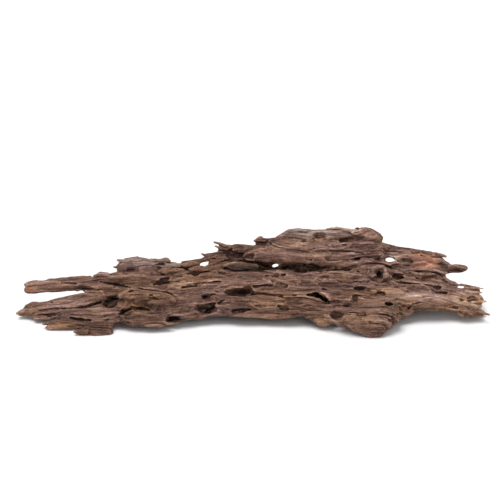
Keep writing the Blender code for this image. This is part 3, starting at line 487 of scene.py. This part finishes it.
def layered(depth, along, thickness, length, seed, softness):
    """Relief of stacked layers, each thicker or thinner and broken off along its length."""
    random = draws(seed)
    depth_start, depth_end = float(depth.min()), float(depth.max())
    along_start, along_end = float(along.min()), float(along.max())
    rows = int((depth_end - depth_start) / ACROSS_STEP) + 2
    columns = int((along_end - along_start) / ALONG_STEP) + 2
    table = np.zeros((rows, columns), np.float32)
    places = np.arange(columns) * ALONG_STEP
    row = 0.0
    while row < rows:
        deep = random.uniform(*thickness) / ACROSS_STEP
        edges, heights = [0.0], [random.standard_normal()]
        while edges[-1] < places[-1]:
            run = random.uniform(*length)
            height = HEIGHT_KEPT * heights[-1] + random.standard_normal() * HEIGHT_NEW
            edges += [edges[-1] + run, edges[-1] + run + STEP_LENGTH]
            heights += [heights[-1], height]
        table[int(row):int(row + deep) + 1] = np.interp(places, edges, heights)
        row += deep
    for _ in range(softness):
        soft = np.pad(table, ((1, 1), (0, 0)), mode="edge")
        table = 0.25 * soft[:-2] + 0.5 * soft[1:-1] + 0.25 * soft[2:]
    row_index = ((depth - depth_start) / ACROSS_STEP).astype(np.int32)
    column_index = ((along - along_start) / ALONG_STEP).astype(np.int32)
    return table[row_index, column_index]


def stacked(rows, depth, along):
    """Weighted reliefs of stacked layers added up."""
    return sum(weight * layered(depth, along, *row) for weight, *row in rows)


def grain_depth():
    """Place among the growth layers, which dip towards the back and sway with the piece."""
    sway = np.interp(X, GRAIN_PLACES, GRAIN_DRIFT).astype(np.float32)[:, None, None]
    return Z[None, None, :] * math.cos(GRAIN_DIP) + Y[None, :, None] * math.sin(GRAIN_DIP) - sway


def direction(column, row):
    """Unit ray from the camera through a point of the photograph."""
    ray = AWAY + RIGHT * (column - AXIS_COLUMN) / PIXELS + UP * (AXIS_ROW - row) / PIXELS
    return ray / np.linalg.norm(ray)


def at_reach(column, row, reach):
    """The point that shows at a place of the photograph, at a distance along the camera's axis."""
    ray = direction(column, row)
    return EYE + ray * reach / (ray @ AWAY)


def sample(field, points):
    """Nearest value of a field at points in millimetres, and a clear value off the grid."""
    index = np.rint((points - ORIGIN) / VOXEL).astype(int)
    inside = np.all((index >= 0) & (index < SHAPE), axis=1)
    index = np.clip(index, 0, SHAPE - 1)
    return np.where(inside, field[index[:, 0], index[:, 1], index[:, 2]], BAND * VOXEL)


def seen(field, column, row):
    """The point of the wood that shows at a place of the photograph."""
    points = EYE + REACHES[:, None] * direction(column, row)
    values = sample(field, points)
    solid = np.flatnonzero(values < 0)
    return points[solid[0]] if len(solid) else points[np.argmin(values)]


def window(low, high):
    """Slices of the grid that cover a box."""
    first = np.clip(np.floor((low - ORIGIN) / VOXEL).astype(int), 0, SHAPE - 1)
    last = np.clip(np.ceil((high - ORIGIN) / VOXEL).astype(int) + 1, 1, SHAPE)
    return tuple(slice(int(a), int(b)) for a, b in zip(first, last))


def egg(centre, axes, radii):
    """Distance to an ellipsoid with its own axes, on the part of the grid near it."""
    spans = [np.array(axis) * radius for axis, radius in zip(axes, radii)]
    reach = np.sqrt(sum(span ** 2 for span in spans)) + EGG_ROOM * VOXEL
    region = window(centre - reach, centre + reach)
    away = [
        (values[part] - middle).reshape([-1 if axis == other else 1 for other in range(3)])
        for axis, (values, part, middle) in enumerate(zip((X, Y, Z), region, centre))
    ]
    near, steep = 0.0, 0.0
    for axis, radius in zip(axes, radii):
        local = (away[0] * axis[0] + away[1] * axis[1] + away[2] * axis[2]) / radius
        near = near + local ** 2
        steep = steep + (local / radius) ** 2
    near = np.sqrt(near)
    return region, near * (near - 1) / (np.sqrt(steep) + TINY)


def carve(field, centre, axes, radii, rough):
    """Take an ellipsoid with a ragged rim out of the wood."""
    region, distance = egg(centre, axes, radii)
    field[region] = np.maximum(field[region], -(distance + RAGGED[region] * rough))


def grow(field, centre, axes, radii, rough, blend=BLEND):
    """Add an ellipsoid to the wood with a soft joint."""
    region, distance = egg(centre, axes, radii)
    old, new = field[region], distance + RAGGED[region] * rough
    mix = np.clip(0.5 + 0.5 * (old - new) / blend, 0, 1)
    field[region] = old * (1 - mix) + new * mix - blend * mix * (1 - mix)


def picture_axes(tilt):
    """Axes of a mark: along it in the picture, across it in the picture, and away."""
    angle = math.radians(tilt)
    along = RIGHT * math.cos(angle) + UP * math.sin(angle)
    across = UP * math.cos(angle) - RIGHT * math.sin(angle)
    return along, across, AWAY


def stroke(field, points, depth_of=None):
    """Places along a drawn line: centre, axes and half height.

    The line lies on the wood that shows, or all of it at the depth of one given point.
    """
    points = np.array(points)
    lengths = np.hypot(*np.diff(points[:, :2], axis=0).T)
    marks = np.concatenate(([0], np.cumsum(lengths)))
    travel = np.arange(0, marks[-1] + STROKE_STEP / 2, STROKE_STEP)
    columns, rows, halves = (np.interp(travel, marks, points[:, part]) for part in range(3))
    if depth_of is None:
        places = np.array([seen(field, column, row) for column, row in zip(columns, rows)])
        reach = smooth_line((places - EYE) @ AWAY)
    else:
        reach = np.full(len(columns), (depth_of - EYE) @ AWAY)
    for index, (column, row, half) in enumerate(zip(columns, rows, halves)):
        ahead = min(index + 1, len(columns) - 1)
        behind = max(index - 1, 0)
        tilt = math.degrees(math.atan2(rows[behind] - rows[ahead], columns[ahead] - columns[behind]))
        yield at_reach(column, row, reach[index]), picture_axes(tilt), half


def smooth_line(values):
    """A line of values with single jumps evened out."""
    aside = 2
    padded = np.pad(values, aside, mode="edge")
    shifted = np.stack([padded[start:start + len(values)] for start in range(2 * aside + 1)])
    return np.median(shifted, axis=0)


def anchored(field, rows):
    """Places along lines that each lie at the depth of the wood seen at an anchor."""
    for (column, row), *path in rows:
        yield from stroke(field, path, depth_of=seen(field, column, row))


def add_marks(field, sturdy, count, seed, front_kept, size_range, stretch, deepness, sunk, rough):
    """Hollows drawn out along the grain, scattered over the whole surface by chance."""
    random = draws(seed)
    shell = np.argwhere(np.abs(field) < SHELL * VOXEL)
    for _ in range(count):
        index = shell[random.integers(len(shell))]
        if np.any(index < CLEAR_VOXELS) or np.any(index > SHAPE - 1 - CLEAR_VOXELS):
            continue
        slope = np.array([
            field[tuple(index + step)] - field[tuple(index - step)] for step in np.eye(3, dtype=int)
        ])
        outward = slope / (np.linalg.norm(slope) + TINY)
        if outward @ AWAY < FRONT_FACING and random.random() > front_kept:
            continue
        along = np.array((1.0, random.normal(0, SWING_BACK), random.normal(0, SWING_UP)))
        along -= outward * (along @ outward)
        if np.linalg.norm(along) < LEAST_ALONG:
            continue
        along /= np.linalg.norm(along)
        across = np.cross(outward, along)
        size = random.uniform(*size_range) * min(1.0, float(sturdy[tuple(index)]) + SIZE_ON_THIN)
        radii = (size * random.uniform(*stretch), size, size * random.uniform(*deepness))
        centre = ORIGIN + index * VOXEL - outward * sunk * size
        carve(field, centre, (along, across, outward), radii, rough)


def carve_hollows(field, ground):
    """The hollows that the photograph shows, each with a shallow rim to the left or right of it."""
    for column, row, wide, high, deep, tilt in HOLLOWS:
        place, axes = seen(ground, column, row), picture_axes(tilt)
        rough = min(HOLLOW_ROUGH + ROUGH_BY_WIDTH * wide, MOST_ROUGH)
        carve(field, place, axes, (wide, high, HOLLOW_DEPTH * deep), rough)
        to_the_right = (column * SIDE_MIX + row) % 2 < 1
        side = wide * (RIM_ASIDE if to_the_right else -RIM_ASIDE)
        rim = (wide * RIM_WIDE, high * RIM_HIGH + RIM_HIGHER, RIM_DEEP)
        carve(field, place + axes[0] * side + axes[1] * RIM_UP, axes, rim, RIM_ROUGH)


def carve_slits(field, ground):
    """The slits that the photograph shows, each with a shallow lip along it."""
    for deep, *path in SLITS:
        for centre, axes, half in stroke(ground, path):
            carve(field, centre, axes, (SLIT_LONG, half + SLIT_WIDER, deep), SLIT_ROUGH)
            carve(field, centre, axes, (LIP_LONG, half + LIP_WIDER, LIP_DEEP), LIP_ROUGH)


def carve_bores(field, ground):
    """The holes that go right through, along the line of sight."""
    for column, row, wide, high, tilt in BORES:
        place, ray = seen(ground, column, row), direction(column, row)
        for reach in np.arange(0, BORE_REACH, BORE_STEP):
            carve(field, place + ray * reach, picture_axes(tilt), (wide, high, BORE_LONG), BORE_ROUGH)


RAGGED = clouds(RAGGED_CLOUDS)


def sturdiness(field):
    """How much of the relief each voxel takes: less at thin ends and at places worn smooth."""
    thick = blurred(filled(field[::COARSE, ::COARSE, ::COARSE]), THICK_ROUNDS)
    sturdy = np.clip((thick - THIN) / SPAN, LEAST_STURDY, 1)
    for axis in range(3):
        sturdy = sturdy.repeat(COARSE, axis)
    sturdy = blurred(sturdy[:SHAPE[0], :SHAPE[1], :SHAPE[2]], STURDY_ROUNDS)
    for column, row, wide, high, amount in CALM:
        region, distance = egg(seen(field, column, row), picture_axes(0), (wide, high, CALM_DEPTH))
        sturdy[region] *= 1 - amount * np.clip(-distance / (CALM_RAMP * high), 0, 1)
    return sturdy


def shape_wood():
    """The wood's distance field with all its detail, and the place of each voxel among the fine layers."""
    field = base_solid()
    sturdy = sturdiness(field)
    depth = grain_depth()
    along = X[:, None, None] + clouds(ALONG_CLOUDS)
    bend = clouds(BEND_CLOUDS)
    relief = stacked(LAYERS, depth + bend, along)
    relief += clouds(SWELL_CLOUDS)
    field = field - np.clip(relief, RELIEF_LOW, RELIEF_HIGH) * sturdy
    for (column, row), farther, *spot, tilt in PLUGS:
        place = seen(field, column, row) + AWAY * farther
        centre = at_reach(spot[0], spot[1], (place - EYE) @ AWAY)
        grow(field, centre, picture_axes(tilt), spot[2:], PLUG_ROUGH)
    ground = field.copy()
    for path in RIDGES:
        for centre, axes, half in stroke(ground, path):
            grow(field, centre, axes, (RIDGE_LONG, half, half * RIDGE_DEEP), RIDGE_ROUGH)
    add_marks(field, sturdy, *SCALLOPS)
    carve_hollows(field, ground)
    carve_slits(field, ground)
    carve_bores(field, ground)
    add_marks(field, sturdy, *PITS)
    for centre, axes, half in anchored(ground, TRIMS):
        carve(field, centre, axes, (TRIM_LONG, half, TRIM_DEEP), TRIM_ROUGH)
    for centre, axes, half in anchored(ground, SPLINTERS):
        radius = half + SPLINTER_WIDER
        grow(field, centre, axes, (SPLINTER_LONG, radius, radius), SPLINTER_ROUGH, SPLINTER_BLEND)
    fine = clouds(FINE_CLOUDS, depth + bend)
    relief = clouds(FIBRE_CLOUDS, stacked(FINE_LAYERS, fine, along))
    field = field - np.clip(relief, -FINE_MOST, FINE_MOST) * np.clip(sturdy + FINE_ON_THIN, 0, 1)
    field = np.maximum(field, -Z[None, None, :])
    return field, fine


def largest_body(points, quads):
    """The points and quads of the biggest connected piece alone."""
    label = np.arange(len(points))
    while True:
        lowest = label[quads].min(axis=1)
        new = label.copy()
        for corner in range(4):
            np.minimum.at(new, quads[:, corner], lowest)
        new = new[new]
        if np.array_equal(new, label):
            break
        label = new
    names, counts = np.unique(label, return_counts=True)
    keep = label == names[np.argmax(counts)]
    number = np.cumsum(keep) - 1
    quads = quads[keep[quads[:, 0]]]
    return points[keep], number[quads]


def mesh_of(field):
    """The surface of a distance field as a mesh object in metres."""
    grid = vdb.FloatGrid(background=BAND * VOXEL)
    grid.transform = vdb.createLinearTransform(voxelSize=VOXEL)
    grid.copyFromArray(field)
    points, quads = grid.convertToQuads(isovalue=0.0)
    points, quads = largest_body(points + ORIGIN.astype(np.float32), quads.astype(np.int64))
    quads = quads[:, ::-1]
    mesh = bpy.data.meshes.new("honeycomb_wood")
    mesh.vertices.add(len(points))
    mesh.vertices.foreach_set("co", (points * MM).astype(np.float32).ravel())
    mesh.loops.add(len(quads) * 4)
    mesh.loops.foreach_set("vertex_index", quads.astype(np.int32).ravel())
    mesh.polygons.add(len(quads))
    mesh.polygons.foreach_set("loop_start", np.arange(len(quads), dtype=np.int32) * 4)
    mesh.update(calc_edges=True)
    mesh.validate()
    piece = bpy.data.objects.new("honeycomb_wood", mesh)
    bpy.context.scene.collection.objects.link(piece)
    return piece


def thin_out(piece):
    """Bring the mesh under the triangle budget, most where it is flat."""
    triangles = sum(len(face.vertices) - 2 for face in piece.data.polygons)
    modifier = piece.modifiers.new("thin", "DECIMATE")
    modifier.ratio = min(1.0, MOST_TRIANGLES / triangles)
    depsgraph = bpy.context.evaluated_depsgraph_get()
    mesh = bpy.data.meshes.new_from_object(piece.evaluated_get(depsgraph))
    piece.modifiers.clear()
    piece.data = mesh
    mesh.shade_smooth()


def patch_weights(field, points):
    """How strongly each named tint, painted shade among them, shows at each vertex, from soft spots on the
    wood.
    """
    weights = {name: np.zeros(len(points)) for name in TINTS}
    for name, column, row, wide, high, tilt, strength in PATCHES:
        offset = points - seen(field, column, row)
        halves = (wide, high, PATCH_DEPTH)
        size = np.sqrt(sum((offset @ axis / half) ** 2 for axis, half in zip(picture_axes(tilt), halves)))
        spot = strength * np.clip((PATCH_END - size) / PATCH_RIM, 0, 1)
        weights[name] = np.maximum(weights[name], spot)
    return weights


def read_at(field, points, every=1):
    """A field that holds every so many voxels, read at points in millimetres by trilinear weights."""
    place = (points - ORIGIN) / (VOXEL * every)
    limit = np.array(field.shape) - 2
    cell = np.clip(np.floor(place).astype(int), 0, limit)
    part = np.clip(place - cell, 0, 1)
    result = 0.0
    for corner in np.ndindex(2, 2, 2):
        weight = np.prod(np.where(corner, part, 1 - part), axis=1)
        index = cell + corner
        result = result + weight * field[index[:, 0], index[:, 1], index[:, 2]]
    return result


def thinned(field, every):
    """Every so many voxels of a field along each axis."""
    return field[::every, ::every, ::every]


def paint_numbers(piece, field, layers):
    """Store per vertex the grain place, hollowness, ridges and tops for painted light, and tints and
    painted shade.
    """
    mesh = piece.data
    points = np.empty(len(mesh.vertices) * 3, np.float32)
    mesh.vertices.foreach_get("co", points)
    points = points.reshape(-1, 3) / MM
    solid = filled(field)
    near = blurred(solid, NEAR_ROUNDS)
    middle = blurred(thinned(solid, MIDDLE_EVERY), MIDDLE_ROUNDS)
    wide = blurred(thinned(solid, WIDE_EVERY), WIDE_ROUNDS)
    numbers = {
        "edge": 0.5 - read_at(near, points),
        "hollow": read_at(middle, points, MIDDLE_EVERY) - 0.5,
        "shelter": read_at(wide, points, WIDE_EVERY) - 0.5,
        "top": -read_at(np.gradient(wide, axis=2), points, WIDE_EVERY) * TOP_SCALE,
    }
    numbers.update(patch_weights(field, points))
    for name, values in numbers.items():
        attribute = mesh.attributes.new(name, "FLOAT", "POINT")
        attribute.data.foreach_set("value", values.astype(np.float32))
    across = points[:, 1] * ACROSS_SHARE - points[:, 2] * ACROSS_SHARE
    grain = np.stack((points[:, 0], read_at(layers, points), across), axis=1)
    attribute = mesh.attributes.new("grain", "FLOAT_VECTOR", "POINT")
    attribute.data.foreach_set("vector", grain.astype(np.float32).ravel())


def linear(red, green, blue):
    """A colour of 0 to 255 steps as linear light."""
    steps = [value / 255 for value in (red, green, blue)]
    return tuple(v / 12.92 if v <= 0.04045 else ((v + 0.055) / 1.055) ** 2.4 for v in steps) + (1.0,)


class Nodes:
    """Short ways to add and join the nodes of one material."""

    def __init__(self, name):
        self.material = bpy.data.materials.new(name)
        self.material.use_nodes = True
        self.tree = self.material.node_tree
        self.shader = self.tree.nodes["Principled BSDF"]

    def join(self, value, socket):
        """Set a socket to a number or link it to an output."""
        if isinstance(value, bpy.types.NodeSocket):
            self.tree.links.new(value, socket)
        else:
            socket.default_value = value

    def stored(self, name, output="Fac"):
        """A number stored on the vertices, or a vector by its output."""
        made = self.tree.nodes.new("ShaderNodeAttribute")
        made.attribute_name = name
        return made.outputs[output]

    def place(self):
        """The place on the object in metres."""
        return self.tree.nodes.new("ShaderNodeTexCoord").outputs["Object"]

    def scaled(self, vector, scale):
        """A vector with its own scale along each axis."""
        made = self.tree.nodes.new("ShaderNodeVectorMath")
        made.operation = "MULTIPLY"
        self.join(vector, made.inputs[0])
        made.inputs[1].default_value = scale
        return made.outputs[0]

    def noise(self, vector, detail, roughness, warp):
        """Noise of unit wave at a scaled place."""
        made = self.tree.nodes.new("ShaderNodeTexNoise")
        made.inputs["Scale"].default_value = 1.0
        made.inputs["Detail"].default_value = detail
        made.inputs["Roughness"].default_value = roughness
        made.inputs["Distortion"].default_value = warp
        self.join(vector, made.inputs["Vector"])
        return made.outputs["Fac"]

    def math(self, operation, *values):
        """One sum on two or three numbers."""
        made = self.tree.nodes.new("ShaderNodeMath")
        made.operation = operation
        for value, socket in zip(values, made.inputs):
            self.join(value, socket)
        return made.outputs[0]

    def between(self, value, low, high, low_out, high_out):
        """A number mapped from one range to another and held inside it."""
        made = self.tree.nodes.new("ShaderNodeMapRange")
        for number, socket in zip((value, low, high, low_out, high_out), made.inputs):
            self.join(number, socket)
        return made.outputs[0]

    def add_part(self, total, value, weight):
        """A running total with one more weighted number."""
        return self.math("MULTIPLY_ADD", value, weight, total)

    def ramp(self, value, stops):
        """A colour ramp of places and colours."""
        made = self.tree.nodes.new("ShaderNodeValToRGB")
        stock = made.color_ramp.elements
        while len(stock) < len(stops):
            stock.new(1.0)
        for element, (place, colour) in zip(stock, stops):
            element.position = place
            element.color = linear(*colour)
        self.join(value, made.inputs["Fac"])
        return made.outputs["Color"]

    def mixed(self, amount, first, second, blend="MIX"):
        """Two colours mixed by a number, on the node's colour sockets."""
        made = self.tree.nodes.new("ShaderNodeMix")
        made.data_type = "RGBA"
        made.blend_type = blend
        self.join(amount, made.inputs[0])
        self.join(first, made.inputs[6])
        self.join(second, made.inputs[7])
        return made.outputs[2]


def wood_material():
    """Old driftwood: grain streaks, painted shade in hollows, bleached edges and a painted highlight on
    edges and tops.
    """
    nodes = Nodes("weathered_wood")
    laid_along = {"grain": nodes.stored("grain", "Vector"), "place": nodes.place()}
    noises = {
        name: nodes.noise(nodes.scaled(laid_along[basis], scale), *look)
        for name, (basis, scale, *look) in NOISES.items()
    }
    tone = MIDDLE_TONE
    for name, weight in NOISE_TONES:
        tone = nodes.add_part(tone, nodes.math("SUBTRACT", noises[name], MIDDLE_NOISE), weight)
    # Painted highlight on edges and tops, and painted light in hollows, from the shape numbers.
    for name, ranges, weight in SHAPE_TONES:
        tone = nodes.add_part(tone, nodes.between(nodes.stored(name), *ranges), weight)
    # Painted shade from the dark patches, and lighter places from the light patches.
    for name, weight in PATCH_TONES:
        tone = nodes.add_part(tone, nodes.stored(name), weight)
    warm = nodes.math("MAXIMUM", nodes.between(noises["warmth"], *WARM_RANGE), nodes.stored("tan"))
    colour = nodes.mixed(warm, nodes.ramp(tone, COOL_TONES), nodes.ramp(tone, WARM_TONES))
    by_tone = nodes.between(tone, *TINT_BY_TONE)
    by_wear = nodes.between(noises["stains"], *TINT_BY_WEAR)
    for tint, amount, paint in TINT_PAINTS:
        shade = nodes.mixed(1.0, linear(*paint), by_tone, "MULTIPLY")
        cover = nodes.math("MULTIPLY", nodes.math("MULTIPLY", nodes.stored(tint), amount), by_wear)
        colour = nodes.mixed(cover, colour, shade)
    nodes.join(colour, nodes.shader.inputs["Base Color"])
    nodes.join(nodes.between(noises["streaks"], *ROUGH_RANGE), nodes.shader.inputs["Roughness"])
    nodes.shader.inputs["Specular IOR Level"].default_value = SPECULAR
    height = nodes.add_part(noises["streaks"], noises["fibres"], FIBRE_BUMP)
    height = nodes.add_part(height, noises["specks"], SPECK_BUMP)
    bump = nodes.tree.nodes.new("ShaderNodeBump")
    bump.inputs["Strength"].default_value = BUMP_STRENGTH
    bump.inputs["Distance"].default_value = BUMP_DISTANCE
    nodes.join(height, bump.inputs["Height"])
    nodes.join(bump.outputs["Normal"], nodes.shader.inputs["Normal"])
    return nodes.material


def add_camera():
    """The photograph's camera, with the shift that its framing needs."""
    data = bpy.data.cameras.new("camera")
    data.lens = LENS
    data.sensor_width = SENSOR
    data.clip_end = FAR_CLIP
    data.shift_x = (PICTURE / 2 - AXIS_COLUMN) / PICTURE
    data.shift_y = (AXIS_ROW - PICTURE / 2) / PICTURE
    camera = bpy.data.objects.new("camera", data)
    toward = Vector(AWAY)
    camera.location = AIM - toward * DISTANCE
    camera.rotation_euler = toward.to_track_quat("-Z", "Y").to_euler()
    bpy.context.scene.collection.objects.link(camera)
    bpy.context.scene.camera = camera


def add_floor():
    """A plain pale floor under the wood."""
    corners = [(FLOOR_HALF * x, FLOOR_HALF * y, 0) for x, y in ((-1, -1), (1, -1), (1, 1), (-1, 1))]
    mesh = bpy.data.meshes.new("floor")
    mesh.from_pydata(corners, [], [(0, 1, 2, 3)])
    floor = bpy.data.objects.new("floor", mesh)
    nodes = Nodes("pale_floor")
    nodes.shader.inputs["Base Color"].default_value = FLOOR_COLOUR
    nodes.shader.inputs["Roughness"].default_value = FLOOR_ROUGHNESS
    mesh.materials.append(nodes.material)
    bpy.context.scene.collection.objects.link(floor)


def add_light(name, kind, place, size, power, colour):
    """A soft light that points at the wood: a square one, or a sun that lights the whole floor."""
    data = bpy.data.lights.new(name, kind)
    if kind == "AREA":
        data.size = size
    else:
        data.angle = size
    data.energy = power
    data.color = colour
    light = bpy.data.objects.new(name, data)
    light.location = place
    light.rotation_euler = (AIM - Vector(place)).to_track_quat("-Z", "Y").to_euler()
    bpy.context.scene.collection.objects.link(light)


def add_lights():
    """A soft studio: white surroundings, a broad sun above and a weaker square light in front."""
    world = bpy.data.worlds.new("studio")
    world.use_nodes = True
    background = world.node_tree.nodes["Background"]
    background.inputs["Color"].default_value = WORLD_COLOUR
    background.inputs["Strength"].default_value = WORLD_STRENGTH
    bpy.context.scene.world = world
    for row in LIGHTS:
        add_light(*row)
    bpy.context.scene.view_settings.view_transform = "Standard"


def main():
    """Build the wood in place of the four solids, and the studio round it."""
    field, layers = shape_wood()
    piece = mesh_of(field)
    thin_out(piece)
    paint_numbers(piece, field, layers)
    piece.data.materials.append(wood_material())
    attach(piece, "root")
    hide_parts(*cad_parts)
    add_floor()
    add_lights()
    add_camera()


main()
